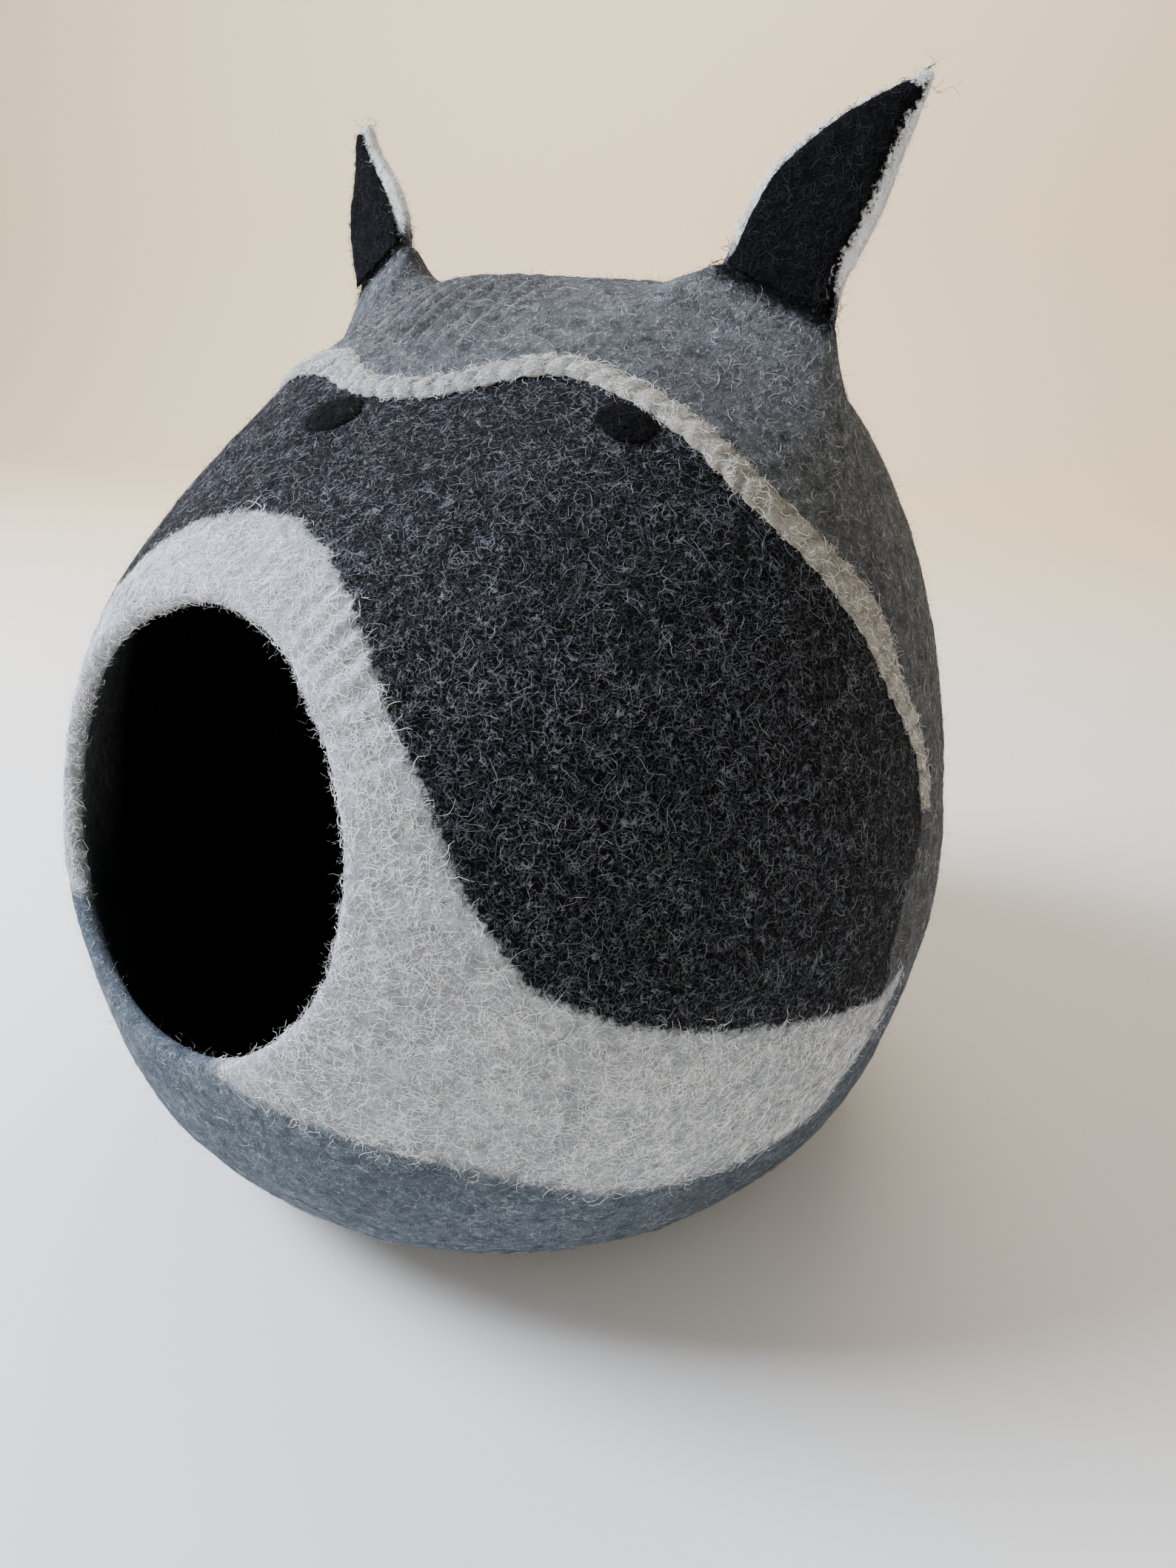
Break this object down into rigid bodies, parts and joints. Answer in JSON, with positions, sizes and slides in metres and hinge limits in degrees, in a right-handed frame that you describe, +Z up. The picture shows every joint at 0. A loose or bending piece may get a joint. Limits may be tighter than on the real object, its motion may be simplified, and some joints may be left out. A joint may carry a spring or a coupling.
{
  "type": "felt cat cave",
  "caption": "Hollow felted-wool cat bed shaped like a round-bodied animal: domed cavity, round entrance at the front, upright ears, raised brow band, felt eyes, flat bottom to rest on.",
  "frame": {"origin": "middle of the flat bottom, on the surface that it rests on", "axes": "+Z up; -Y out of the entrance; +X to the right of someone who faces the entrance"},
  "size_m": [0.4198, 0.4197, 0.4639],
  "materials": {
    "grey_wool": "matte felted wool, in flush zones of charcoal, pale grey, mid grey and blue-grey",
    "white_leaf": "matte felted wool",
    "black_face": "matte felted wool",
    "cream_roving": "matte twisted wool roving",
    "black_eye": "matte felted wool"
  },
  "bodies": {
    "root": {"felt_shell": "grey_wool", "ear_right": "white_leaf", "ear_left": "white_leaf", "ear_face_right": "black_face", "ear_face_left": "black_face", "brow_band": "cream_roving", "eye_right": "black_eye", "eye_left": "black_eye"}
  },
  "joints": []
}
